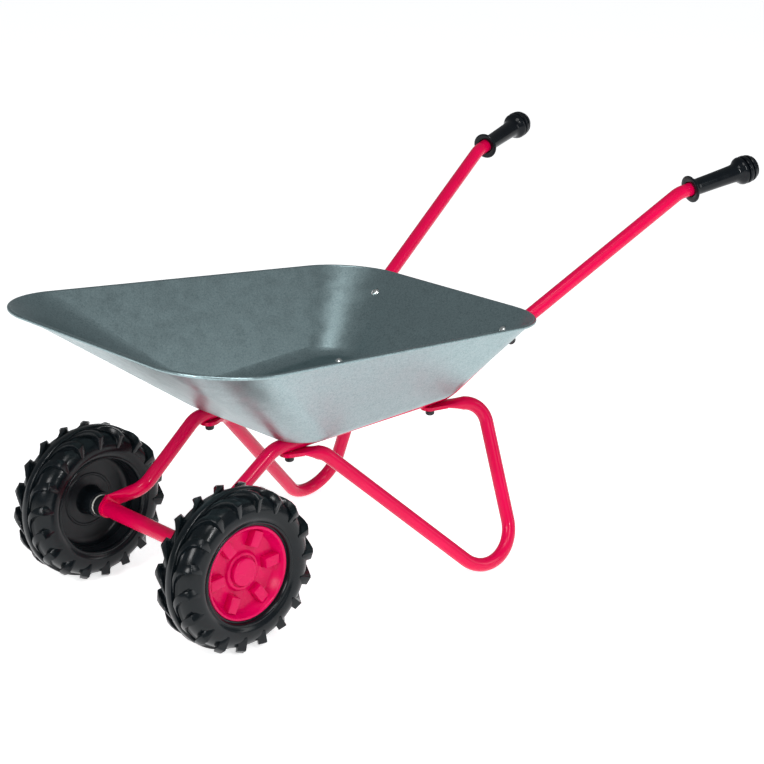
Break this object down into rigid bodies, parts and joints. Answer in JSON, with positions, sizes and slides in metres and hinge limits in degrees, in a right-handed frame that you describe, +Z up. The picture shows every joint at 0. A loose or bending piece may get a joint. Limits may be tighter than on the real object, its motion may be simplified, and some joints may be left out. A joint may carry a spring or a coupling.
{
  "type": "wheelbarrow",
  "caption": "Child's garden wheelbarrow: flared steel tray on a bent-tube frame with V-shaped legs, lugged wheels either side on a straight axle, and flared hand grips.",
  "frame": {"origin": "on the ground, on the middle plane, halfway between the front of the rim and the ends of the grips", "axes": "+X forward from the grips to the wheels, +Y to the left of someone pushing it, +Z up"},
  "size_m": [0.8499, 0.4174, 0.4399],
  "materials": {
    "galvanised_tray": "galvanised, satin with a fine spangle",
    "red_paint": "glossy enamel",
    "bright_zinc": "zinc plated, bright",
    "tyre_black": "moulded, satin",
    "core_black": "moulded, semi-gloss",
    "hub_red": "glossy moulded",
    "bush_nylon": "natural nylon, satin",
    "grip_black": "glossy moulded",
    "cap_black": "moulded, satin"
  },
  "bodies": {
    "chassis": {"tray": "galvanised_tray", "axle_tube": "red_paint", "axle_rod": "bright_zinc", "tray_bolts": "bright_zinc", "bolt_washers": "bright_zinc", "bolt_nuts": "bright_zinc", "nut_caps": "cap_black", "left_frame_tube": "red_paint", "left_leg": "red_paint", "left_grip": "grip_black", "left_wheel_spacer": "cap_black", "left_push_nut": "bright_zinc", "right_frame_tube": "red_paint", "right_leg": "red_paint", "right_grip": "grip_black", "right_wheel_spacer": "cap_black", "right_push_nut": "bright_zinc"},
    "left_wheel": {"left_tyre": "tyre_black", "left_wheel_core": "core_black", "left_hub_bush": "bush_nylon", "left_wheel_disc": "hub_red", "left_hub_cap": "hub_red"},
    "right_wheel": {"right_tyre": "tyre_black", "right_wheel_core": "core_black", "right_hub_bush": "bush_nylon", "right_wheel_disc": "hub_red", "right_hub_cap": "hub_red"}
  },
  "joints": [
    {"name": "left_wheel_spin", "type": "hinge", "parent": "chassis", "child": "left_wheel", "pos_m": [0.3335, 0.132, 0.089], "axis": [0, 1, 0], "continuous": true},
    {"name": "right_wheel_spin", "type": "hinge", "parent": "chassis", "child": "right_wheel", "pos_m": [0.3335, -0.132, 0.089], "axis": [0, 1, 0], "continuous": true}
  ]
}
